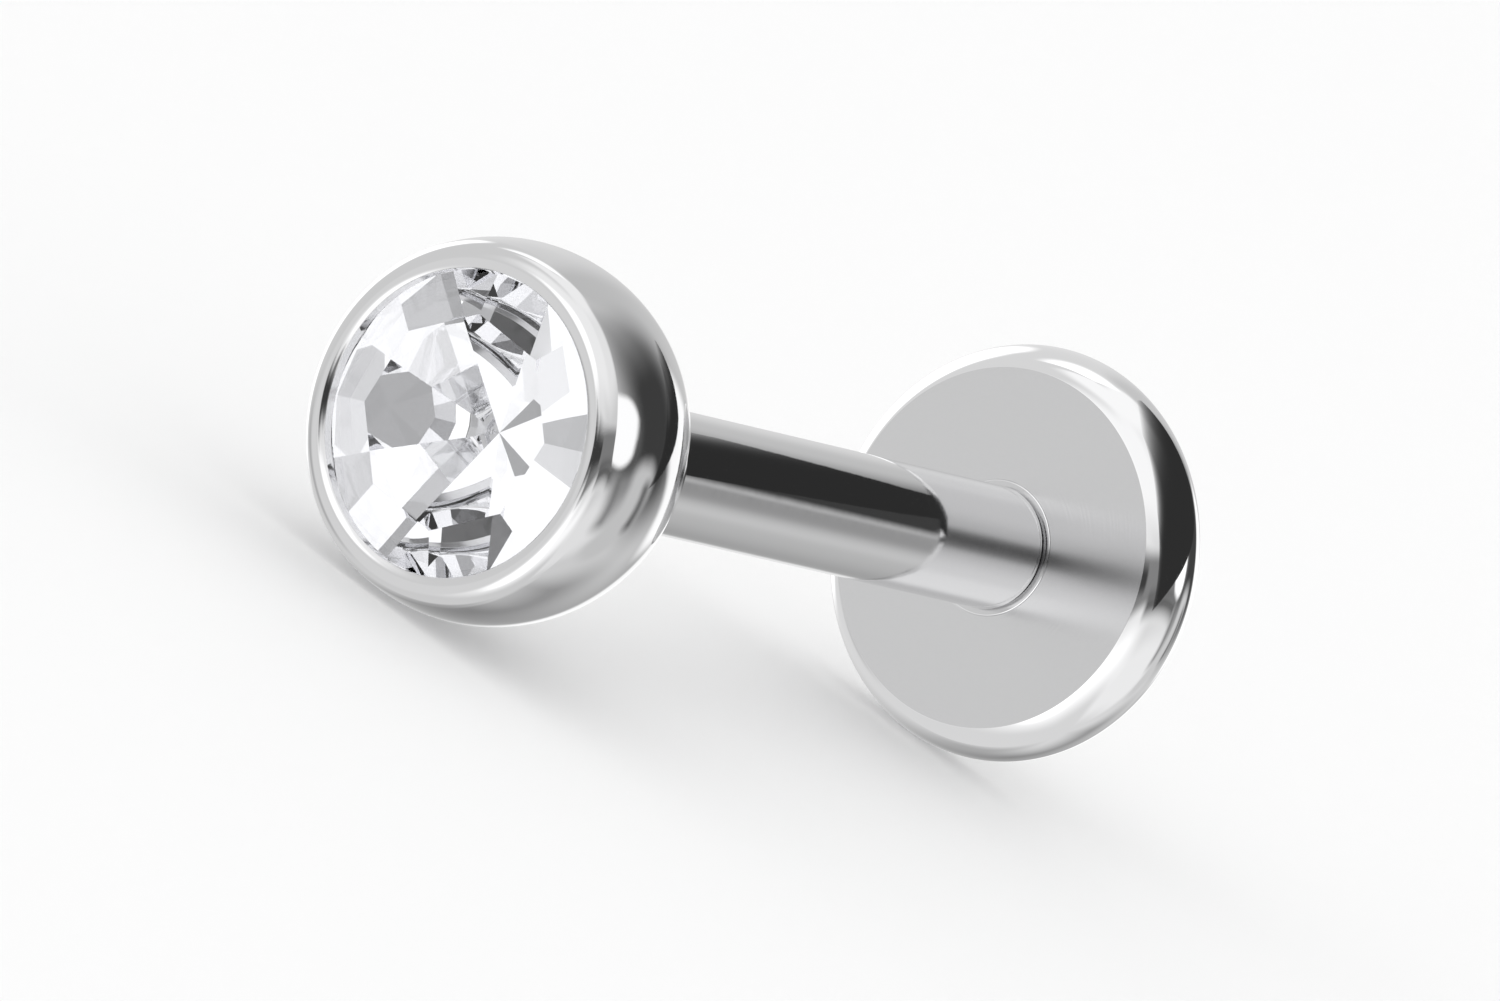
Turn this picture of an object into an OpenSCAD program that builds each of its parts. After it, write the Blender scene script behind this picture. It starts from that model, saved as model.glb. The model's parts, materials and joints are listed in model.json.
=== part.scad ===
// Labret stud: a round bar with a flat back disc, and a crystal-set head that comes off.
// The stud lies on its side, resting on the rim of its disc and on its head.

/* [Bar] */
// Diameter of the bar
bar_d = 1.2; // [1.0:0.1:1.6]
// Bare length of the bar, between the disc and the head
bar_len = 7; // [5:0.5:12]
// Diameter of the tenon at the bar's foot
tenon_d = 0.8; // [0.6:0.05:0.9]
// How deep the tenon stands in the disc
tenon_depth = 0.35; // [0.2:0.05:0.6]
// Gap round the tenon, under it and under the bar's shoulder
foot_gap = 0.02; // [0.01:0.01:0.04]
// Broken edge at the ends of the bar, of the bore and of the seat
edge_break = 0.04; // [0.02:0.01:0.08]

/* [Back disc] */
// Diameter of the back disc
disc_d = 4.02; // [3:0.1:5]
// Thickness of the back disc
disc_t = 0.86; // [0.7:0.02:1.1]
// How far the round rim swells past the crease round the inner face
rim_swell = 0.19; // [0.1:0.01:0.3]

/* [Head] */
// Metal outside the stone, at the head's widest
head_wall = 0.33; // [0.28:0.01:0.5]
// Height of the lip's crest over the middle of the head
lip_crest = 0.705; // [0.6:0.005:0.9]
// How far the lip reaches over the stone's edge
lip_over = 0.038; // [0.03:0.002:0.1]
// How far the lip's crest stands outside the opening's edge
crest_in = 0.088; // [0.02:0.002:0.12]
// Width of the head's flat back, outside the bar
back_land = 0.05; // [0.02:0.01:0.1]
// Gap between the bar's end and the head's flat back
end_gap = 0.02; // [0.01:0.01:0.04]

/* [Pin] */
// Diameter of the pin under the head
pin_d = 0.6; // [0.5:0.05:0.75]
// Length of the pin
pin_len = 3; // [2:0.25:4]
// Gap round the pin in the bore
pin_gap = 0.03; // [0.02:0.01:0.05]
// Room left under the pin in the bore
bore_room = 0.3; // [0.1:0.1:0.6]

/* [Crystal] */
// Diameter of the crystal at its girdle
crystal_d = 3; // [2.4:0.1:3.6]
// From the stud's axis to the corners of the table
table_r = 1.04; // [0.8:0.02:1.2]
// Slope of the crown facets round the table
crown_deg = 21.6; // [18:0.2:26]
// Slope of the facets behind
pavilion_deg = 37.5; // [36:0.5:43]
// Thickness of the girdle where it is thinnest
girdle_t = 0.024; // [0.02:0.002:0.06]
// How far the table stands over the lip's crest
table_rise = 0.005; // [-0.05:0.005:0.01]
// Turn of the cut about the stud's axis
cut_turn = 20; // [0:5:45]
// Gap between the crystal and its seat
seat_gap = 0.015; // [0.01:0.005:0.03]
// Number of facets round the crown, and as many behind
mains = 8; // [8:2:12]

/* [Hidden] */
$fn = 96;
past = 0.5; // how far a cut runs past the face it opens
root = 0.2; // how far a tenon or a pin runs into the metal it stands on

// Outline of the back disc: the rim's arc runs from the outer face to the crease
disc_r = disc_d / 2;
bar_r = bar_d / 2;
rim_r = rim_swell + disc_t - sqrt(2 * rim_swell * disc_t);
rim_ring_r = disc_r - rim_r;

// Outline of the head, in heights over its middle
crystal_r = crystal_d / 2;
head_r = crystal_r + head_wall;
opening_r = crystal_r - lip_over;
lip_ring_r = opening_r + crest_in;
lip_r = (head_r * head_r - lip_crest * lip_crest - lip_ring_r * lip_ring_r) / (2 * (head_r - lip_crest));
lip_ring_z = lip_crest - lip_r;
back_r = bar_r + back_land;
back_z = -sqrt(head_r * head_r - back_r * back_r);

// Heights on the axis of the stud, from the disc's outer face
tenon_z = disc_t - tenon_depth;
shoulder_z = disc_t + foot_gap;
bar_end_z = shoulder_z + bar_len;
head_z = bar_end_z + end_gap - back_z;
tenon_r = tenon_d / 2;
pin_r = pin_d / 2;
bore_r = pin_r + pin_gap;
bore_depth = pin_len + bore_room;

// Facets of the crystal, in heights over the middle of the head. An angle is told from a facet's middle.
half_step = 180 / mains;
table_across = table_r * cos(half_step);
table_z = lip_crest + table_rise;
function crown_at(r, off) = table_z - (r * cos(off) - table_across) * tan(crown_deg);
culet_z = crown_at(crystal_r, half_step) - girdle_t - crystal_r * tan(pavilion_deg);
function pavilion_at(r, off) = culet_z + r * cos(off) * tan(pavilion_deg);

// Rest on a flat surface: the stud leans until its rim and its head both touch
rim_to_head = head_z - rim_r;
lean = atan2(rim_ring_r, rim_to_head)
    + asin((rim_r - head_r) / norm([rim_ring_r, rim_to_head]));
rest_z = head_z * sin(lean) + head_r;
rest_x = ((rim_r + head_z + lip_ring_z) * cos(lean)
    + (lip_ring_r - rim_ring_r) * abs(sin(lean)) + lip_r - rim_r) / 2;

// Lays what stands on the disc's outer face down on its side, the head towards -X
module lay() {
    translate([rest_x, 0, rest_z]) rotate([0, -90 - lean, 0]) children();
}

// A cylinder with a broken edge at both ends
module eased_rod(r, h) {
    rotate_extrude() polygon([
        [0, 0], [r - edge_break, 0], [r, edge_break],
        [r, h - edge_break], [r - edge_break, h], [0, h]
    ]);
}

// A blind hole down from z = 0, with a broken edge at its mouth
module eased_hole(r, depth) {
    translate([0, 0, -depth]) cylinder(r = r, h = depth + past);
    translate([0, 0, -edge_break]) cylinder(r1 = r, r2 = r + edge_break + past, h = edge_break + past);
}

module back_disc() {
    color("silver") lay() difference() {
        rotate_extrude() {
            square([rim_ring_r, disc_t]);
            intersection() {
                translate([rim_ring_r, rim_r]) circle(rim_r);
                square([disc_r + past, disc_t]);
            }
        }
        translate([0, 0, disc_t]) eased_hole(tenon_r + foot_gap, tenon_depth + foot_gap);
    }
}

module bar() {
    color("lightgray") lay() difference() {
        union() {
            translate([0, 0, shoulder_z]) eased_rod(bar_r, bar_len);
            translate([0, 0, tenon_z]) eased_rod(tenon_r, tenon_depth + foot_gap + root);
        }
        translate([0, 0, bar_end_z]) eased_hole(bore_r, bore_depth);
    }
}

// Section of the head's outside: a ball, rolled over at its front into a lip
module head_outline() {
    difference() {
        union() {
            intersection() {
                circle(head_r);
                lip_edge_section();
            }
            translate([lip_ring_r, lip_ring_z]) circle(lip_r);
            square([lip_ring_r, lip_ring_z]);
        }
        translate([-2 * head_r, -2 * head_r]) square([2 * head_r, 4 * head_r]);
    }
}

// All that lies behind the line from the head's middle through the lip ring
module lip_edge_section() {
    reach = 2 * head_r / norm([lip_ring_r, lip_ring_z]);
    polygon([
        [0, 0], [lip_ring_r * reach, lip_ring_z * reach],
        [2 * head_r, back_z], [0, back_z]
    ]);
}

// Section of the hollow for the stone, which stays at the seat's gap from the edges of its facets
module seat_section() {
    seat_r = crystal_r + seat_gap;
    polygon([
        [0, culet_z - seat_gap],
        [seat_r, pavilion_at(crystal_r, half_step) - seat_gap],
        [seat_r, crown_at(crystal_r, half_step) + seat_gap],
        [opening_r, crown_at(opening_r, half_step) + seat_gap],
        [opening_r, lip_crest + past],
        [0, lip_crest + past]
    ]);
}

module bezel_head() {
    color("gainsboro") lay() translate([0, 0, head_z]) {
        rotate_extrude() difference() {
            head_outline();
            seat_section();
        }
        translate([0, 0, back_z - pin_len]) eased_rod(pin_r, pin_len + root);
    }
}

// What a facet takes off: all that lies over a plane that falls away from the axis at this slope
module facet_cut(slope) {
    span = 2 * crystal_r;
    rotate([0, slope, 0]) translate([-span, -span, 0]) cube([2 * span, 2 * span, span]);
}

module crystal() {
    color("azure") lay() translate([0, 0, head_z]) rotate([0, 0, cut_turn]) difference() {
        translate([0, 0, culet_z]) cylinder(r = crystal_r, h = table_z - culet_z);
        for (i = [0:mains - 1]) rotate([0, 0, (2 * i + 1) * half_step])
            translate([table_across, 0, table_z]) facet_cut(crown_deg);
        for (i = [0:mains - 1]) rotate([0, 0, 2 * i * half_step])
            translate([0, 0, culet_z]) mirror([0, 0, 1]) facet_cut(pavilion_deg);
    }
}

back_disc();
bar();
bezel_head();
crystal();
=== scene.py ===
"""Labret stud, lying on its side: a round bar with a flat back disc and a head set with a cut crystal."""

import json
import math
from typing import NamedTuple

import bpy
from mathutils import Matrix, Vector


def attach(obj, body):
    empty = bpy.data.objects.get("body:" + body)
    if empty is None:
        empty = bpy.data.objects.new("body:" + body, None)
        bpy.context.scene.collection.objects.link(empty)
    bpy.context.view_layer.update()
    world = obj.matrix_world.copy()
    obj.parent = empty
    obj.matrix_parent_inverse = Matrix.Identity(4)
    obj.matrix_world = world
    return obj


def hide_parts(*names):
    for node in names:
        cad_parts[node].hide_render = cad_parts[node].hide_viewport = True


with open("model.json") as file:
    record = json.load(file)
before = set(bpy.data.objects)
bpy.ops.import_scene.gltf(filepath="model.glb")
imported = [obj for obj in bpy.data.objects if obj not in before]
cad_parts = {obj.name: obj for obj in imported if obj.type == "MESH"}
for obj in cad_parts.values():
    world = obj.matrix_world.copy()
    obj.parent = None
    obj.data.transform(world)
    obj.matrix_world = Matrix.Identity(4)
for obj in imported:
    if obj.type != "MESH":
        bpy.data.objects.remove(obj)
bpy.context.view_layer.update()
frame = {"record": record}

bl_info = {
    "name": "Labret stud",
    "version": (1, 0, 0),
    "blender": (4, 5, 0),
    "location": "3D View > Sidebar > Labret stud",
    "description": "Builds a labret stud and its stage round a fixed frame",
    "category": "Add Mesh",
}

MM = 0.001
MOUNTS = {mount["name"]: mount for mount in frame["record"]["mounts"]}
DISC_FACE = Vector(MOUNTS["disc_back"]["pos_m"])
TO_HEAD = -Vector(MOUNTS["disc_back"]["axis"]).normalized()
BAR_R = MOUNTS["worn_bar"]["dims"]["r_mm"] * MM

# The stud's own axes: Z from the disc's outer face to the head, Y as the frame's Y
ACROSS = Vector((0, 1, 0))
STUD = Matrix((ACROSS.cross(TO_HEAD), ACROSS, TO_HEAD)).transposed().to_4x4()
STUD.translation = DISC_FACE

TURNS = 288  # steps round a turned piece
ARC_STEP = math.radians(3)  # steps along a turned piece's arcs
GIRDLE_STEPS = 6  # steps along half a sector of the crystal's girdle
HOLD = 0.004 * MM  # distance of the rings that hold a flat beside a rounded edge
SHORTEST_HELD = 4 * HOLD  # stretches shorter than this get no such rings
SAME = 1e-8  # points closer than this, in metres, are one point
CREASE = 0.012 * MM  # rounding of the crease round the disc's inner face
GROOVE_R = 0.655 * MM  # radius of the hairline groove round the bar's foot
GROOVE = 0.003 * MM  # its depth, and half the width of its floor
WELD = 0.0005 * MM  # corners of neighbouring sectors closer than this are one corner
SILVERED = -0.05  # facets whose normal's height along the stud is below this are silvered


def length(name, description, default):
    """A size in metres."""
    return bpy.props.FloatProperty(
        name=name,
        description=description,
        default=default,
        min=0.0,
        unit="LENGTH",
        subtype="DISTANCE",
        precision=6,
    )


def share(name, description, default):
    """A value from 0 to 1."""
    return bpy.props.FloatProperty(
        name=name, description=description, default=default, min=0.0, max=1.0, subtype="FACTOR"
    )


def colour(name, description, default):
    """A plain colour."""
    return bpy.props.FloatVectorProperty(
        name=name, description=description, default=default, min=0.0, max=1.0, size=3, subtype="COLOR"
    )


def number(name, description, default, least=0.0):
    """A plain number."""
    return bpy.props.FloatProperty(name=name, description=description, default=default, min=least)


def angle(name, description, degrees):
    """An angle, given in degrees."""
    return bpy.props.FloatProperty(
        name=name, description=description, default=math.radians(degrees), subtype="ANGLE"
    )


class LabretSizes(bpy.types.PropertyGroup):
    """Sizes of the stud's pieces."""

    bar_len: length("Bar length", "Bare length of the bar", 7 * MM)
    edge_break: length("Edge break", "Rounding of the bar's ends", 0.04 * MM)
    tenon_r: length("Tenon radius", "Radius of the tenon at the bar's foot", 0.4 * MM)
    tenon_depth: length("Tenon depth", "How deep the tenon stands in the disc", 0.35 * MM)
    foot_gap: length("Foot gap", "Gap round the tenon and under the bar's shoulder", 0.02 * MM)
    disc_r: length("Disc radius", "Radius of the back disc", 2.01 * MM)
    disc_t: length("Disc thickness", "Thickness of the back disc", 0.86 * MM)
    rim_swell: length("Rim swell", "How far the rim swells past the crease", 0.27 * MM)
    rim_h: length("Rim height", "Height of the rim's widest ring", 0.42 * MM)
    crystal_r: length("Crystal radius", "Radius of the crystal at its girdle", 1.5 * MM)
    head_wall: length("Head wall", "Metal outside the stone", 0.33 * MM)
    lip_crest: length("Lip crest", "Height of the lip's crest over the head's middle", 0.705 * MM)
    lip_over: length("Lip over", "How far the lip reaches over the stone's edge", 0.038 * MM)
    crest_in: length("Crest in", "How far the crest stands outside the opening", 0.088 * MM)
    back_land: length("Back land", "Width of the flat back outside the bar", 0.05 * MM)
    end_gap: length("End gap", "Gap between the bar's end and the head", 0.02 * MM)
    pin_r: length("Pin radius", "Radius of the pin under the head", 0.3 * MM)
    pin_len: length("Pin length", "Length of the pin", 3 * MM)
    bore_r: length("Bore radius", "Radius of the bore in the bar", 0.33 * MM)
    bore_depth: length("Bore depth", "Depth of the bore in the bar", 3.3 * MM)
    table_r: length("Table radius", "Distance of the table's corners from the axis", 1.04 * MM)
    girdle_t: length("Girdle", "Thickness of the girdle at its thinnest", 0.024 * MM)
    table_rise: length("Table rise", "How far the table stands over the lip's crest", 0.005 * MM)
    seat_gap: length("Seat gap", "Gap between the crystal and its seat", 0.015 * MM)
    crown: angle("Crown", "Slope of the crown's facets", 21.6)
    pavilion: angle("Pavilion", "Slope of the pavilion's facets", 37.5)
    cut_turn: angle("Cut turn", "Turn of the facets about the stud's axis", 20)
    mains: bpy.props.IntProperty(
        name="Main facets", description="Facets round the crown", default=8, min=8, max=16
    )


class LabretFinish(bpy.types.PropertyGroup):
    """Colours and finishes of the stud."""

    steel: colour("Steel", "Colour of the polished steel", (0.68, 0.68, 0.685))
    satin: colour("Satin steel", "Colour of the disc's turned flats", (0.61, 0.61, 0.615))
    rim: colour("Rim", "Colour of the disc's polished rim", (0.77, 0.77, 0.775))
    polish: share("Polish roughness", "Roughness of the polished steel", 0.05)
    satin_rough: share("Satin roughness", "Roughness of the turned flats", 0.17)
    foil: colour("Foil", "Colour of the silvered pavilion", (0.9, 0.9, 0.91))
    crystal_index: number("Crystal index", "Refractive index of the crystal", 1.54, least=1.0)


class LabretStage(bpy.types.PropertyGroup):
    """The floor, the light and the camera."""

    floor: colour("Floor", "Colour of the plain floor", (0.9, 0.9, 0.9))
    floor_size: length("Floor size", "Side of the floor", 1.2)
    axis_angle: angle("Axis angle", "Angle between the stud's axis and the view", 33.4)
    axis_slope: angle("Axis slope", "Slope of the axis in the picture, down to the disc", 13.1)
    floor_turn: angle("Floor turn", "Turn of the floor about the stud's axis", 20)
    scale: number("Scale", "Photo pixels in a millimetre", 106.8, least=1.0)
    head_x: number("Head X", "Middle of the head in the photo, from the left", 495.4)
    head_y: number("Head Y", "Middle of the head in the photo, from the top", 431.9)
    distance: length("Distance", "Distance of the camera", 0.36)


GROUPS = {"labret_sizes": LabretSizes, "labret_finish": LabretFinish, "labret_stage": LabretStage}
PHOTO_SIZE = (1500, 1001)
SENSOR = 36.0  # the camera's sensor width, in its own millimetres
CLIP = (0.05, 10.0)  # nearest and farthest that the camera shows, in metres


class Signal:
    """A node's output that takes sums, products and the like in Python."""

    def __init__(self, graph, socket):
        self.graph = graph
        self.socket = socket

    def maths(self, operation, *others):
        """A Math node on this value and the others."""
        return self.graph.node("ShaderNodeMath", dict(enumerate((self, *others))), operation=operation)

    def reflected(self, operation, other):
        """The same, with this value as the second one."""
        return self.graph.node("ShaderNodeMath", {0: other, 1: self}, operation=operation)

    def __add__(self, other):
        return self.maths("ADD", other)

    __radd__ = __add__

    def __sub__(self, other):
        return self.maths("SUBTRACT", other)

    def __rsub__(self, other):
        return self.reflected("SUBTRACT", other)

    def __mul__(self, other):
        return self.maths("MULTIPLY", other)

    __rmul__ = __mul__

    def __truediv__(self, other):
        return self.maths("DIVIDE", other)

    def __rtruediv__(self, other):
        return self.reflected("DIVIDE", other)

    def __pow__(self, other):
        return self.maths("POWER", other)

    def __rpow__(self, other):
        return self.reflected("POWER", other)


class Graph:
    """Adds nodes to a tree."""

    def __init__(self, tree):
        self.tree = tree

    def node(self, kind, sockets=None, out=0, **settings):
        """A node of that type. Its settings come first, then the values or links of its sockets."""
        node = self.tree.nodes.new(kind)
        for name, value in settings.items():
            setattr(node, name, value)
        for name, value in (sockets or {}).items():
            if isinstance(value, Signal):
                self.tree.links.new(value.socket, node.inputs[name])
            else:
                node.inputs[name].default_value = value
        return Signal(self, node.outputs[out]) if node.outputs else node

    def smooth(self, value, low, high):
        """A soft step from 0 at low to 1 at high."""
        limits = {"Value": value, "From Min": low, "From Max": high}
        return self.node("ShaderNodeMapRange", limits, interpolation_type="SMOOTHSTEP")

    def vector(self, operation, *values, out="Vector"):
        """A Vector Math node. Its output is Value for a length or a dot product."""
        return self.node("ShaderNodeVectorMath", dict(enumerate(values)), out=out, operation=operation)

    # A Mix node has the same names for its numbers, sockets 2 and 3, and its colours, 6 and 7
    def blend(self, mask, low, high):
        """The number low where the mask is 0, and high where it is 1."""
        return self.node("ShaderNodeMix", {0: mask, 2: low, 3: high})

    def tint(self, mask, low, high):
        """The colour low where the mask is 0, and high where it is 1."""
        colours = {0: mask, 6: (*low, 1.0), 7: (*high, 1.0)}
        return self.node("ShaderNodeMix", colours, out=2, data_type="RGBA")

    def noise(self, place, scale, detail, roughness):
        """A noise round 0.5, with about scale patches in a unit of place."""
        sockets = {"Vector": place, "Scale": scale, "Detail": detail, "Roughness": roughness}
        return self.node("ShaderNodeTexNoise", sockets)

    def bump(self, height, strength, distance):
        """A normal that is tilted by that height."""
        return self.node("ShaderNodeBump", {"Height": height, "Strength": strength, "Distance": distance})

    def surface(self, sockets):
        """The Principled shader with those sockets, as the material's surface."""
        shader = self.node("ShaderNodeBsdfPrincipled", sockets)
        self.node("ShaderNodeOutputMaterial", {"Surface": shader})


# Noises of the finishes: patches in a millimetre, detail and roughness
POLISH_WAVE = (2.2, 2.0, 0.5)
POLISH_WEAR = (34.0, 5.0, 0.62)
DISC_RINGS = (1.0, 4.0, 0.6)
DISC_CLOUD = (1.3, 3.0, 0.5)
STONE_DUST = (9.0, 4.0, 0.5)
FOIL_CLOUD = (3.0, 2.0, 0.5)
FOIL_WAVE = (0.9, 0.0, 0.5)
FLOOR_GRAIN = (900.0, 2.0, 0.5)  # patches in a metre

# Tilts of the surface: strength and height
POLISH_BUMP = (0.08, 0.02 * MM)
RINGS_BUMP = (0.06, 0.01 * MM)
FOIL_BUMP = (1.0, 0.006 * MM)
WAVE_SHARE, WEAR_SHARE = 0.7, 0.05  # shares of the wave and the wear in the polish's tilt

RINGS_IN_MM = 26.0  # turning rings in a millimetre of the disc's radius
FLAT_FACING = (0.97, 0.995)  # cosine to the axis at which a face of the disc starts to be a flat, and is one
WEAR_GLOSS = 0.05  # swing of the polish's roughness over the wear
CLOUD_GLOSS = 0.05  # swing of the flats' roughness over the cloud
FOIL_GLOSS = 0.004  # greatest roughness of the foil
GLASS = (0.985, 0.99, 0.995)  # tint of the crystal
DUST_FROM, DUST_FULL = 0.55, 0.9  # noise at which dust starts on the stone, and is thickest
DUST_GLOSS = 0.02  # roughness of the thickest dust
FLOOR_ROUGH, GRAIN_GLOSS = 0.7, 0.1  # roughness of the floor, and its rise over the grain
FLOOR_SHINE = 0.2  # specular level of the floor


def new_material(name):
    """An empty node material and its graph."""
    material = bpy.data.materials.new(name)
    material.use_nodes = True
    material.node_tree.nodes.clear()
    return material, Graph(material.node_tree)


def stud_coordinates(graph):
    """Object coordinates in millimetres along the stud's own axes."""
    place = graph.node("ShaderNodeTexCoord", out="Object")
    turn = STUD.inverted().to_3x3()
    return graph.node(
        "ShaderNodeMapping",
        {
            "Vector": place,
            "Location": tuple(turn @ DISC_FACE / -MM),
            "Rotation": tuple(turn.to_euler()),
            "Scale": (1 / MM, 1 / MM, 1 / MM),
        },
    )


def polished_steel(finish):
    """Mirror-polished steel with a faint wave, and with fine wear in its gloss."""
    material, graph = new_material("polished_steel")
    place = stud_coordinates(graph)
    wave = graph.noise(place, *POLISH_WAVE)
    wear = graph.noise(place, *POLISH_WEAR)
    graph.surface(
        {
            "Base Color": (*finish.steel, 1.0),
            "Metallic": 1.0,
            "Roughness": finish.polish + (wear - 0.5) * WEAR_GLOSS,
            "Normal": graph.bump(wave * WAVE_SHARE + wear * WEAR_SHARE, *POLISH_BUMP),
        }
    )
    return material


def turned_steel(finish):
    """Steel with a polished rim, and with fine turning rings on the disc's two flats."""
    material, graph = new_material("turned_steel")
    place = stud_coordinates(graph)
    x, y = (graph.node("ShaderNodeSeparateXYZ", {"Vector": place}, out=name) for name in "XY")
    radius = (x * x + y * y) ** 0.5
    rings = graph.noise(graph.node("ShaderNodeCombineXYZ", {"X": radius * RINGS_IN_MM}), *DISC_RINGS)
    cloud = graph.noise(place, *DISC_CLOUD)
    normal = graph.node("ShaderNodeNewGeometry", out="Normal")
    facing = graph.vector("DOT_PRODUCT", normal, tuple(TO_HEAD), out="Value")
    flat = graph.smooth(facing.maths("ABSOLUTE"), *FLAT_FACING)
    duller = finish.satin_rough - finish.polish + (cloud - 0.5) * CLOUD_GLOSS
    graph.surface(
        {
            "Base Color": graph.tint(flat, finish.rim, finish.satin),
            "Metallic": 1.0,
            "Roughness": finish.polish + flat * duller,
            "Normal": graph.bump(rings * flat, *RINGS_BUMP),
        }
    )
    return material


def cut_crystal(finish):
    """Clear glass with a little dust in its gloss."""
    material, graph = new_material("cut_crystal")
    dust = graph.noise(stud_coordinates(graph), *STONE_DUST)
    graph.surface(
        {
            "Base Color": (*GLASS, 1.0),
            "Transmission Weight": 1.0,
            "IOR": finish.crystal_index,
            "Roughness": graph.smooth(dust, DUST_FROM, DUST_FULL) * DUST_GLOSS,
        }
    )
    return material


def silver_foil(finish):
    """The silvered back of the crystal."""
    material, graph = new_material("silver_foil")
    place = stud_coordinates(graph)
    graph.surface(
        {
            "Base Color": (*finish.foil, 1.0),
            "Metallic": 1.0,
            "Roughness": graph.noise(place, *FOIL_CLOUD) * FOIL_GLOSS,
            "Normal": graph.bump(graph.noise(place, *FOIL_WAVE), *FOIL_BUMP),
        }
    )
    return material


def plain_floor(stage):
    """Pale matt floor."""
    material, graph = new_material("plain_floor")
    grain = graph.noise(graph.node("ShaderNodeTexCoord", out="Object"), *FLOOR_GRAIN)
    graph.surface(
        {
            "Base Color": (*stage.floor, 1.0),
            "Roughness": FLOOR_ROUGH + grain * GRAIN_GLOSS,
            "Specular IOR Level": FLOOR_SHINE,
        }
    )
    return material


def material_of(make, finish):
    """The material that make builds and names after itself, made once."""
    return bpy.data.materials.get(make.__name__) or make(finish)


def arc(centre, radius, start, end):
    """Points (r, h) on an arc about centre, from start to end in degrees from the r axis."""
    start, end = math.radians(start), math.radians(end)
    count = max(3, math.ceil(abs(end - start) / ARC_STEP))
    turns = [start + (end - start) * i / count for i in range(count + 1)]
    return [(centre[0] + radius * math.cos(t), centre[1] + radius * math.sin(t)) for t in turns]


def line(start, end):
    """Points along a straight stretch, with a ring close to each end that holds it flat."""
    start, end = Vector(start), Vector(end)
    run = end - start
    if run.length < SHORTEST_HELD:
        return [tuple(start), tuple(end)]
    step = run.normalized() * HOLD
    return [tuple(p) for p in (start, start + step, end - step, end)]


def joined(*stretches):
    """One outline from stretches that follow each other, without doubled points."""
    points = []
    for stretch in stretches:
        for point in stretch:
            if not points or (Vector(point) - Vector(points[-1])).length > SAME:
                points.append(point)
    return points


def turned_mesh(name, outline):
    """A closed mesh: the outline (r, h), which starts and ends on the axis, turned about it."""
    verts, rings = [], []
    for r, h in outline:
        if r < SAME:
            rings.append([len(verts)])
            verts.append((0.0, 0.0, h))
        else:
            rings.append(list(range(len(verts), len(verts) + TURNS)))
            for i in range(TURNS):
                t = 2 * math.pi * i / TURNS
                verts.append((r * math.cos(t), r * math.sin(t), h))
    faces = []
    for low, high in zip(rings, rings[1:]):
        for i in range(TURNS):
            j = (i + 1) % TURNS
            corners = (low[i % len(low)], low[j % len(low)], high[j % len(high)], high[i % len(high)])
            faces.append(tuple(dict.fromkeys(corners)))
    mesh = bpy.data.meshes.new(name)
    mesh.from_pydata([STUD @ Vector(v) for v in verts], [], faces)
    mesh.validate()
    mesh.shade_smooth()
    return mesh


def in_scene(name, data):
    """An object of that mesh or camera, linked to the scene."""
    thing = bpy.data.objects.new(name, data)
    bpy.context.scene.collection.objects.link(thing)
    return thing


def finish_piece(name, mesh, node, body):
    """Puts a mesh in the scene in place of its CAD node."""
    piece = in_scene(name, mesh)
    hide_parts(node)
    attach(piece, body)


def turned_piece(name, outline, material, node, body):
    """Turns an outline and puts it in the scene in place of its CAD node."""
    mesh = turned_mesh(name, outline)
    mesh.materials.append(material)
    finish_piece(name, mesh, node, body)


def head_middle(sizes):
    """Height of the head's middle over the disc's outer face."""
    back_r = BAR_R + sizes.back_land
    head_r = sizes.crystal_r + sizes.head_wall
    return bar_end(sizes) + sizes.end_gap + math.sqrt(head_r**2 - back_r**2)


def bar_end(sizes):
    """Height of the bar's open end over the disc's outer face."""
    return sizes.disc_t + sizes.foot_gap + sizes.bar_len


def disc_outline(sizes):
    """Half-section of the back disc, from the outer face over the rim to the seat."""
    t, swell, rim_h = sizes.disc_t, sizes.rim_swell, sizes.rim_h
    # Over its widest ring the rim is an arc up to the crease, and under it that arc pressed flatter
    rim_r = (swell**2 + (t - rim_h) ** 2) / (2 * swell)
    ring_r = sizes.disc_r - rim_r
    crease_r = ring_r + math.sqrt((rim_r - CREASE) ** 2 - (t - CREASE - rim_h) ** 2)
    crease_deg = math.degrees(math.asin((t - CREASE - rim_h) / (rim_r - CREASE)))
    under = [(r, rim_h + (h - rim_h) * rim_h / rim_r) for r, h in arc((ring_r, rim_h), rim_r, -90, 0)]
    seat_r = sizes.tenon_r + sizes.foot_gap
    seat_h = t - sizes.tenon_depth - sizes.foot_gap
    return joined(
        line((0, 0), (ring_r, 0)),
        under,
        arc((ring_r, rim_h), rim_r, 0, crease_deg),
        arc((crease_r, t - CREASE), CREASE, crease_deg, 90),
        line((crease_r, t), (GROOVE_R + 2 * GROOVE, t)),
        [(GROOVE_R + GROOVE, t - GROOVE), (GROOVE_R - GROOVE, t - GROOVE), (GROOVE_R - 2 * GROOVE, t)],
        line((GROOVE_R - 2 * GROOVE, t), (seat_r + sizes.edge_break, t)),
        line((seat_r + sizes.edge_break, t), (seat_r, t - sizes.edge_break)),
        line((seat_r, t - sizes.edge_break), (seat_r, seat_h)),
        line((seat_r, seat_h), (0, seat_h)),
    )


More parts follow.
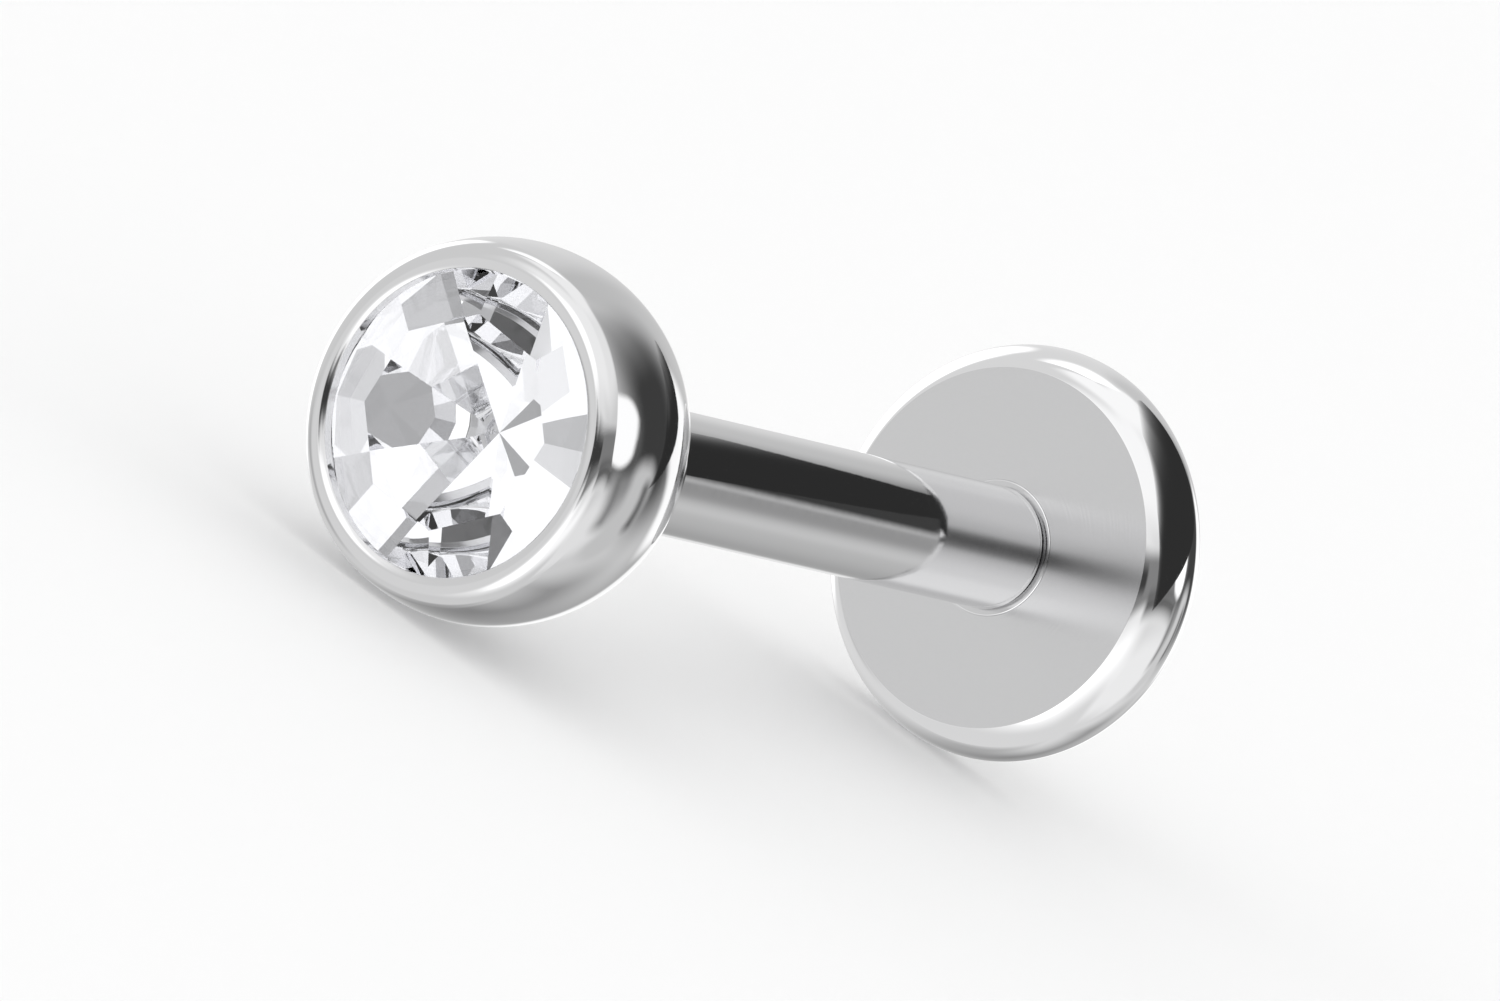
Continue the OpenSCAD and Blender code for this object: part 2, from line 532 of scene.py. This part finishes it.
def bar_outline(sizes):
    """Half-section of the bar, from the tenon's end up the outside and down the bore."""
    ease, r = sizes.edge_break, BAR_R
    low = sizes.disc_t - sizes.tenon_depth
    shoulder = sizes.disc_t + sizes.foot_gap
    end = bar_end(sizes)
    tenon, bore = sizes.tenon_r, sizes.bore_r
    return joined(
        line((0, low), (tenon - ease, low)),
        arc((tenon - ease, low + ease), ease, -90, 0),
        line((tenon, low + ease), (tenon, shoulder)),
        line((tenon, shoulder), (r - ease, shoulder)),
        arc((r - ease, shoulder + ease), ease, -90, 0),
        line((r, shoulder + ease), (r, end - ease)),
        arc((r - ease, end - ease), ease, 0, 90),
        line((r - ease, end), (bore + ease, end)),
        arc((bore + ease, end - ease), ease, 90, 180),
        line((bore, end - ease), (bore, end - sizes.bore_depth)),
        line((bore, end - sizes.bore_depth), (0, end - sizes.bore_depth)),
    )


def crown_height(sizes, r, off):
    """Height of the crown over the head's middle, at radius r and at that angle off a facet's middle."""
    across = sizes.table_r * math.cos(math.pi / sizes.mains)
    return sizes.lip_crest + sizes.table_rise - (r * math.cos(off) - across) * math.tan(sizes.crown)


def pavilion_height(sizes, r, off):
    """Height of the pavilion over the head's middle, at radius r and at that angle off a facet's middle."""
    thinnest = crown_height(sizes, sizes.crystal_r, math.pi / sizes.mains) - sizes.girdle_t
    return thinnest - (sizes.crystal_r - r * math.cos(off)) * math.tan(sizes.pavilion)


def head_outline(sizes):
    """Half-section of the head, from the pin's tip over the ball and the lip down the seat."""
    ease, gap = sizes.edge_break, sizes.seat_gap
    head_r = sizes.crystal_r + sizes.head_wall
    opening_r = sizes.crystal_r - sizes.lip_over
    crest, ring_r = sizes.lip_crest, opening_r + sizes.crest_in
    lip_r = (head_r**2 - crest**2 - ring_r**2) / (2 * (head_r - crest))
    ring_h = crest - lip_r
    back_r = BAR_R + sizes.back_land
    back_h = -math.sqrt(head_r**2 - back_r**2)
    tip = back_h - sizes.pin_len
    pin = sizes.pin_r
    back_deg = math.degrees(math.atan2(back_h, back_r))
    blend_deg = math.degrees(math.atan2(ring_h, ring_r))
    edge_deg = math.degrees(math.acos((opening_r - ring_r) / lip_r))
    ridge = math.pi / sizes.mains
    groove_r = sizes.crystal_r + gap
    groove_top = crown_height(sizes, sizes.crystal_r, ridge) + gap
    groove_low = pavilion_height(sizes, sizes.crystal_r, ridge) - gap
    under_lip = crown_height(sizes, opening_r, ridge) + gap
    edge_h = ring_h + math.sqrt(lip_r**2 - sizes.crest_in**2)
    points = joined(
        line((0, tip), (pin - ease, tip)),
        arc((pin - ease, tip + ease), ease, -90, 0),
        line((pin, tip + ease), (pin, back_h)),
        line((pin, back_h), (back_r, back_h)),
        arc((0, 0), head_r, back_deg, blend_deg),
        arc((ring_r, ring_h), lip_r, blend_deg, edge_deg),
        line((opening_r, edge_h), (opening_r, under_lip)),
        line((opening_r, under_lip), (groove_r, groove_top)),
        line((groove_r, groove_top), (groove_r, groove_low)),
        line((groove_r, groove_low), (0, pavilion_height(sizes, 0, 0) - gap)),
    )
    middle = head_middle(sizes)
    return [(r, h + middle) for r, h in points]


def crystal_sector(sizes):
    """One of the equal sectors of the crystal, with one crown facet in its middle, as a mesh."""
    half = math.pi / sizes.mains
    middle = head_middle(sizes)
    table_h = middle + sizes.lip_crest + sizes.table_rise
    girdle = [half * (i / GIRDLE_STEPS - 1) for i in range(2 * GIRDLE_STEPS + 1)]

    def point(r, off, h):
        return (r * math.cos(off), r * math.sin(off), h)

    verts = [
        (0.0, 0.0, table_h),
        point(sizes.table_r, -half, table_h),
        point(sizes.table_r, half, table_h),
        (0.0, 0.0, middle + pavilion_height(sizes, 0, 0)),
    ]
    top = len(verts)
    r = sizes.crystal_r
    verts += [point(r, off, middle + crown_height(sizes, r, off)) for off in girdle]
    low = len(verts)
    verts += [point(r, off, middle + pavilion_height(sizes, r, half - abs(off))) for off in girdle]
    ridge = low + GIRDLE_STEPS
    faces = [
        (0, 1, 2),
        (2, 1, *range(top, low)),
        (3, *range(ridge, low - 1, -1)),
        (3, *range(len(verts) - 1, ridge - 1, -1)),
    ]
    faces += [(i, i + len(girdle), i + len(girdle) + 1, i + 1) for i in range(top, low - 1)]
    mesh = bpy.data.meshes.new("crystal_sector")
    mesh.from_pydata(verts, [], faces)
    return mesh


def sector_tree():
    """Geometry Nodes that repeat a sector round the Z axis and give its back another material."""
    tree = bpy.data.node_groups.new("facets_round", "GeometryNodeTree")
    tree.is_modifier = True
    inputs = {
        "Sector": "Geometry",
        "Sectors": "Int",
        "Turn": "Float",
        "Weld": "Float",
        "Front": "Material",
        "Back": "Material",
    }
    for name, kind in inputs.items():
        tree.interface.new_socket(name, in_out="INPUT", socket_type="NodeSocket" + kind)
    tree.interface.new_socket("Geometry", in_out="OUTPUT", socket_type="NodeSocketGeometry")
    graph = Graph(tree)
    given = tree.nodes.new("NodeGroupInput")
    sector, count, first, weld, front, back = (Signal(graph, given.outputs[name]) for name in inputs)
    points = graph.node("GeometryNodePoints", {"Count": count})
    turn = first + (graph.node("GeometryNodeInputIndex") + 0.5) * (2 * math.pi) / count
    turns = graph.node("ShaderNodeCombineXYZ", {"Z": turn})
    copies = {"Points": points, "Instance": sector, "Rotation": turns}
    placed = graph.node("GeometryNodeInstanceOnPoints", copies)
    real = graph.node("GeometryNodeRealizeInstances", {"Geometry": placed})
    whole = graph.node("GeometryNodeMergeByDistance", {"Geometry": real, "Distance": weld})
    facing = graph.node("ShaderNodeSeparateXYZ", {"Vector": graph.node("GeometryNodeInputNormal")}, out="Z")
    behind = graph.node("FunctionNodeCompare", {"A": facing, "B": SILVERED}, operation="LESS_THAN")
    glass = graph.node("GeometryNodeSetMaterial", {"Geometry": whole, "Material": front})
    foil = {"Geometry": glass, "Selection": behind, "Material": back}
    foiled = graph.node("GeometryNodeSetMaterial", foil)
    graph.node("NodeGroupOutput", {"Geometry": foiled})
    return tree


def socket_id(tree, name):
    """The identifier of a tree's named input."""
    return next(s.identifier for s in tree.interface.items_tree if s.name == name and s.in_out == "INPUT")


def crystal_mesh(sizes, finish):
    """The whole crystal, in the row frame, with flat facets."""
    tree = sector_tree()
    source = in_scene("crystal_source", crystal_sector(sizes))
    modifier = source.modifiers.new("Facets", "NODES")
    modifier.node_group = tree
    values = {
        "Sectors": sizes.mains,
        "Turn": sizes.cut_turn,
        "Weld": WELD,
        "Front": material_of(cut_crystal, finish),
        "Back": material_of(silver_foil, finish),
    }
    for name, value in values.items():
        modifier[socket_id(tree, name)] = value
    worked_out = source.evaluated_get(bpy.context.evaluated_depsgraph_get())
    mesh = bpy.data.meshes.new_from_object(worked_out)
    bpy.data.objects.remove(source)
    mesh.name = "crystal_cut"
    mesh.transform(STUD)
    mesh.shade_flat()
    return mesh


def camera_axes(stage):
    """The camera's rotation in the row frame, from the angles at which the photo shows the stud."""
    view, slope, turn = stage.axis_angle, stage.axis_slope, stage.floor_turn
    right, down = math.cos(slope), math.sin(slope)
    axis = Vector((-math.sin(view) * right, math.sin(view) * down, math.cos(view)))
    upright = Vector((down, right, 0.0))
    nearer = Vector((math.cos(view) * right, -math.cos(view) * down, math.sin(view)))
    up = math.cos(turn) * upright + math.sin(turn) * nearer
    seen = Matrix((axis, up, axis.cross(up))).transposed()
    rise = (Vector((0, 0, 1)) - TO_HEAD.z * TO_HEAD).normalized()
    real = Matrix((TO_HEAD, rise, TO_HEAD.cross(rise))).transposed()
    return real @ seen.transposed()


def add_camera(stage, sizes):
    """A long lens at the photo's angle, with the head where the photo has it."""
    turn = camera_axes(stage)
    head = STUD @ Vector((0, 0, head_middle(sizes)))
    width, height = PHOTO_SIZE
    pixel = MM / stage.scale
    aside, below = (width / 2 - stage.head_x) * pixel, (stage.head_y - height / 2) * pixel
    data = bpy.data.cameras.new("camera")
    data.sensor_width = SENSOR
    data.lens = SENSOR * stage.distance / (width * pixel)
    data.clip_start, data.clip_end = CLIP
    camera = in_scene("camera", data)
    place = head + turn @ Vector((aside, below, stage.distance))
    camera.matrix_world = Matrix.Translation(place) @ turn.to_4x4()
    bpy.context.scene.camera = camera


class Card(NamedTuple):
    """A soft-edged card of the studio that the metal mirrors, in degrees, seen from the stud."""

    name: str
    turn: float  # from the camera, to the right
    rise: float  # above the camera's level
    half_wide: float
    half_high: float
    tilt: float  # anticlockwise
    soft: float  # width of the soft edge
    light: float


class Spot(NamedTuple):
    """A round soft-edged card that the stone throws back, in degrees, seen from the stud."""

    name: str
    turn: float  # from the camera, to the right
    rise: float  # above the camera's level
    half: float  # from its middle to its edge
    soft: float  # width of the soft edge
    light: float


# Later cards cover earlier ones
CARDS = [
    Card("left grey", -90, 1, 29, 12, 8, 13, 0.6),
    Card("upper side", 43, 59, 50, 40.8, 9, 23, 1.11),
    Card("upper box", -17, 41, 45, 22.4, 8, 20, 1.21),
    Card("lower side", 51, -54, 47, 22.2, 3, 20, 1.07),
    Card("lower box", -25, -22, 37, 25.3, 15, 39, 1.42),
    Card("top glow", 15, 78, 115, 13.8, -5, 12, 1.22),
    Card("left box", -44, 27, 15, 9, 20, 8, 1.6),
    Card("low left box", -42, -24, 14, 20, 0, 10, 1.6),
    Card("under box", 29, -12, 49, 9.3, -6, 18, 1.02),
    Card("left low", -76, -4, 24, 20, 15, 12, 0.93),
    Card("behind", 163, -9, 87, 17.7, -36, 31, 0.5),
    Card("rear top glow", 180, 79, 60, 10, 0, 8, 1.5),
    Card("rear box", 209, 25, 24, 27, 0, 8, 1.7),
    Card("rear glow", 145, 25, 16, 37, 18, 16, 0.7),
    Card("low shade", 168, -50, 27, 7.8, 16, 57, 0.18),
    Card("front gap", 30, -3, 65, 9.6, -7, 7, 0.28),
    Card("front core", -25, 6, 26, 4.3, -11, 6, 0.059),
    Card("gap edge", 45, -16, 35, 4, -8, 11, 0.085),
    Card("right flag", 111, 1, 25, 31, -3, 32, 0.064),
    Card("streak", 108, -33, 10.5, 22, 5.5, 8.5, 0.76),
    Card("low corner", 88, -31, 3.2, 12.5, 15, 15, 0.15),
    Card("side strip", 80, 0.5, 13.5, 16, -17, 4.3, 1.45),
    Card("behind disc", 144, -5, 12, 18, 47, 7, 1.35),
    Card("back spark", 172, -8, 9, 11, 6, 6, 1.16),
    Card("flag edge", 114, -26, 3, 9, 16, 7, 0.17),
]
SPOTS = [
    Spot("camera side", -67, 12, 8, 2, 0.48),
    Spot("fan's tip", -62, -40, 4, 1, 0.48),
    Spot("upper dark", -18, 37, 4, 2, 0.09),
    Spot("upper grey", -27, 66, 5, 2, 0.16),
    Spot("low dark", -63, -50, 3.5, 1.5, 0.12),
    Spot("lower dark", -33, -28, 3.6, 1.5, 0.04),
    Spot("lower grey", -26, -37, 4, 2, 0.5),
    Spot("front grey", 7, 24, 6, 3, 0.7),
    Spot("front low", 10, -31, 5, 3, 0.85),
    Spot("middle grey", -36, 2, 4, 2, 0.62),
    Spot("middle light", -34, 13, 4, 2, 0.86),
    Spot("side grey", -51, 4, 4, 2, 0.8),
    Spot("side light", -50, 16, 4, 2, 1.0),
    Spot("far side", -77, -3, 6, 2, 0.66),
    Spot("low side", -56, -46, 2, 2, 0.85),
    Spot("low edge", -53, -34, 3, 2, 1.1),
    Spot("top light", -43, 60, 5, 3, 0.85),
    Spot("bottom glow", 0, -50, 10, 5, 1.8),
    Spot("rear glow", 79, 46, 10, 5, 1.9),
    Spot("rear low glow", 66, -71, 10, 5, 1.9),
]
CORNER = 0.8  # radius of a card's corners, as a share of its smaller half
SEAM = -120  # turn at which the map of the cards starts and ends
SURROUND = 0.86  # light of the studio between the cards, as the metal mirrors it
STONE_SURROUND = 1.3  # the same, as the stone throws it back
FLOOR_LIGHT = 1.1  # light that falls on the floor
BACKDROP = 1.0  # light of the surround as the camera sees it
REFLECTIONS = 12  # mirrorings that a ray may have, because light crosses the stone up to ten times
BOUNCES = 16  # bounces of all kinds that it may have


def towards(turn, rise):
    """The direction at that turn and rise, in the camera's axes."""
    turn, rise = math.radians(turn), math.radians(rise)
    return Vector((math.sin(turn) * math.cos(rise), math.sin(rise), math.cos(turn) * math.cos(rise)))


def card_mask(graph, place, card):
    """1 inside the card and 0 outside it, at that turn and rise."""
    spin = (0, 0, math.radians(card.tilt))
    moved = {"Vector": place, "Location": (card.turn, card.rise, 0), "Rotation": spin}
    local = graph.node("ShaderNodeMapping", moved, vector_type="TEXTURE")
    corner = min(card.half_wide, card.half_high) * CORNER
    core = (card.half_wide - corner, card.half_high - corner, 0)
    over = graph.vector("SUBTRACT", graph.vector("ABSOLUTE", local), core)
    away = graph.vector("LENGTH", graph.vector("MAXIMUM", over, (0, 0, 0)), out="Value")
    return graph.smooth(away, corner + card.soft / 2, corner - card.soft / 2)


def spot_mask(graph, direction, spot, to_camera):
    """1 inside the round card and 0 outside it, for the direction in which the light is looked up."""
    middle = to_camera @ towards(spot.turn, spot.rise)
    near = graph.vector("DOT_PRODUCT", direction, tuple(middle), out="Value")
    edge = (math.cos(math.radians(spot.half + spot.soft * side)) for side in (0.5, -0.5))
    return graph.smooth(near, *edge)


def studio_light(stage):
    """A plain soft studio round the stud: a pale surround with soft boxes and dark flags."""
    world = bpy.data.worlds.new("studio")
    bpy.context.scene.world = world
    world.use_nodes = True
    # The cards are large and soft, so the light needs no map of where it is brightest
    world.cycles.sampling_method = "NONE"
    # The stone is black in places with fewer bounces
    bpy.context.scene.cycles.glossy_bounces = REFLECTIONS
    bpy.context.scene.cycles.max_bounces = BOUNCES
    # The usual order of samples leaves a worm-like grain in the stone
    bpy.context.scene.cycles.sampling_pattern = "TABULATED_SOBOL"
    world.node_tree.nodes.clear()
    graph = Graph(world.node_tree)
    direction = graph.node("ShaderNodeTexCoord", out="Generated")
    to_camera = camera_axes(stage)
    axes = to_camera.transposed()
    right, up, back = (graph.vector("DOT_PRODUCT", direction, tuple(axis), out="Value") for axis in axes)
    turn = (right.maths("ARCTAN2", back) * math.degrees(1)).maths("WRAP", SEAM + 360, SEAM)
    place = graph.node("ShaderNodeCombineXYZ", {"X": turn, "Y": up.maths("ARCSINE") * math.degrees(1)})
    light, spark = SURROUND, STONE_SURROUND
    for card in CARDS:
        light = graph.blend(card_mask(graph, place, card), light, card.light)
    for spot in SPOTS:
        spark = graph.blend(spot_mask(graph, direction, spot, to_camera), spark, spot.light)
    rays = ("Is Camera Ray", "Is Diffuse Ray", "Is Transmission Ray")
    seen, diffuse, through = (graph.node("ShaderNodeLightPath", out=ray) for ray in rays)
    light = graph.blend(through, light, spark)
    light = graph.blend(diffuse, light, FLOOR_LIGHT)
    light = graph.blend(seen, light, BACKDROP)
    background = graph.node("ShaderNodeBackground", {"Color": (1, 1, 1, 1), "Strength": light})
    graph.node("ShaderNodeOutputWorld", {"Surface": background})


# Corners of the dark flag by the disc, in millimetres on its own plane
FLAG = [(-2.8, -2.8), (3.2, -0.2), (6.0, 1.5), (6.0, 6.4), (0.0, 5.2), (-2.2, 3.2), (-2.55, 0.4)]
# Ways on that plane in which its cloth thins out: the angle, and where the thinning starts and ends
FLAG_FADES = [(113.4, 0.54, 3.94), (140.3, 0.8, 2.9), (180.0, 1.4, 2.8)]
FLAG_THIN = 5  # the higher, the later the cloth turns clear along those ways
FLAG_LIGHT = 0.035
FLAG_PLACE = (60.6, 6.9, 4.74 * MM)  # turn, rise and distance from the middle of the disc's inner face
FLAG_FACES = (63.6, 18.0)  # turn and rise of the way it faces


def flag_cloth(middle, side, above):
    """Dark cloth that thins out along the flag's fades."""
    material, graph = new_material("flag_cloth")
    place = graph.node("ShaderNodeTexCoord", out="Object")
    fades = []
    for turn, start, end in FLAG_FADES:
        way = side * math.cos(math.radians(turn)) + above * math.sin(math.radians(turn))
        along = graph.vector("DOT_PRODUCT", place, tuple(way / MM), out="Value") - middle.dot(way) / MM
        limits = {"Value": along, "From Min": start, "From Max": end}
        fades.append(graph.node("ShaderNodeMapRange", limits))
    thinnest = fades[0].maths("MAXIMUM", fades[1]).maths("MAXIMUM", fades[2])
    cloth = graph.node("ShaderNodeEmission", {"Color": (1, 1, 1, 1), "Strength": FLAG_LIGHT})
    clear = graph.node("ShaderNodeBsdfTransparent")
    shader = graph.node("ShaderNodeMixShader", {0: thinnest**FLAG_THIN, 1: cloth, 2: clear})
    graph.node("ShaderNodeOutputMaterial", {"Surface": shader})
    return material


def add_flag(stage, sizes):
    """A dark flag close to the disc, which only the metal sees."""
    to_camera = camera_axes(stage)
    facing = towards(*FLAG_FACES)
    side = Vector((0, 1, 0)).cross(facing).normalized()
    above = to_camera @ facing.cross(side)
    side = to_camera @ side
    turn, rise, distance = FLAG_PLACE
    middle = STUD @ Vector((0, 0, sizes.disc_t)) + to_camera @ towards(turn, rise) * distance
    corners = [middle + (side * x + above * y) * MM for x, y in FLAG]
    mesh = bpy.data.meshes.new("flag")
    mesh.from_pydata(corners, [], [tuple(range(len(corners)))])
    mesh.materials.append(flag_cloth(middle, side, above))
    flag = in_scene("flag", mesh)
    for ray in ("camera", "diffuse", "transmission", "shadow", "volume_scatter"):
        setattr(flag, "visible_" + ray, False)


def add_floor(stage):
    """The plain floor that the stud lies on."""
    half = stage.floor_size / 2
    mesh = bpy.data.meshes.new("floor")
    corners = [(-half, -half, 0), (half, -half, 0), (half, half, 0), (-half, half, 0)]
    mesh.from_pydata(corners, [], [(0, 1, 2, 3)])
    mesh.materials.append(plain_floor(stage))
    floor = in_scene("floor", mesh)
    floor.visible_glossy = False
    floor.visible_transmission = False


class LABRET_OT_back_disc(bpy.types.Operator):
    """Build the back disc"""

    bl_idname = "labret.back_disc"
    bl_label = "Back disc"

    def execute(self, context):
        scene = context.scene
        outline = disc_outline(scene.labret_sizes)
        material = material_of(turned_steel, scene.labret_finish)
        turned_piece("disc_turned", outline, material, "back_disc", "post")
        return {"FINISHED"}


class LABRET_OT_bar(bpy.types.Operator):
    """Build the bar"""

    bl_idname = "labret.bar"
    bl_label = "Bar"

    def execute(self, context):
        scene = context.scene
        outline = bar_outline(scene.labret_sizes)
        material = material_of(polished_steel, scene.labret_finish)
        turned_piece("bar_turned", outline, material, "bar", "post")
        return {"FINISHED"}


class LABRET_OT_bezel_head(bpy.types.Operator):
    """Build the head with its lip, seat and pin"""

    bl_idname = "labret.bezel_head"
    bl_label = "Bezel head"

    def execute(self, context):
        scene = context.scene
        outline = head_outline(scene.labret_sizes)
        material = material_of(polished_steel, scene.labret_finish)
        turned_piece("head_turned", outline, material, "bezel_head", "head")
        return {"FINISHED"}


class LABRET_OT_crystal(bpy.types.Operator):
    """Cut the crystal"""

    bl_idname = "labret.crystal"
    bl_label = "Crystal"

    def execute(self, context):
        scene = context.scene
        mesh = crystal_mesh(scene.labret_sizes, scene.labret_finish)
        finish_piece("crystal_cut", mesh, "crystal", "head")
        return {"FINISHED"}


class LABRET_OT_stage(bpy.types.Operator):
    """Set the floor, the light and the camera"""

    bl_idname = "labret.stage"
    bl_label = "Stage"

    def execute(self, context):
        scene = context.scene
        add_floor(scene.labret_stage)
        add_flag(scene.labret_stage, scene.labret_sizes)
        studio_light(scene.labret_stage)
        add_camera(scene.labret_stage, scene.labret_sizes)
        scene.view_settings.view_transform = "Standard"
        scene.view_settings.look = "None"
        return {"FINISHED"}


OPERATORS = [
    LABRET_OT_back_disc,
    LABRET_OT_bar,
    LABRET_OT_bezel_head,
    LABRET_OT_crystal,
    LABRET_OT_stage,
]


class LABRET_PT_panel(bpy.types.Panel):
    """Lists the pieces of the stud"""

    bl_idname = "LABRET_PT_panel"
    bl_label = "Labret stud"
    bl_space_type = "VIEW_3D"
    bl_region_type = "UI"
    bl_category = "Labret stud"

    def draw(self, context):
        for operator in OPERATORS:
            self.layout.operator(operator.bl_idname)
        for name, group in GROUPS.items():
            box = self.layout.box()
            box.label(text=group.__doc__)
            for field in group.__annotations__:
                box.prop(getattr(context.scene, name), field)


CLASSES = [*GROUPS.values(), *OPERATORS, LABRET_PT_panel]


def register():
    for cls in CLASSES:
        bpy.utils.register_class(cls)
    for name, group in GROUPS.items():
        setattr(bpy.types.Scene, name, bpy.props.PointerProperty(type=group))


def unregister():
    for name in GROUPS:
        delattr(bpy.types.Scene, name)
    for cls in reversed(CLASSES):
        bpy.utils.unregister_class(cls)


def main():
    register()
    for step in ("stage", "back_disc", "bar", "bezel_head", "crystal"):
        getattr(bpy.ops.labret, step)()


if __name__ == "__main__":
    main()
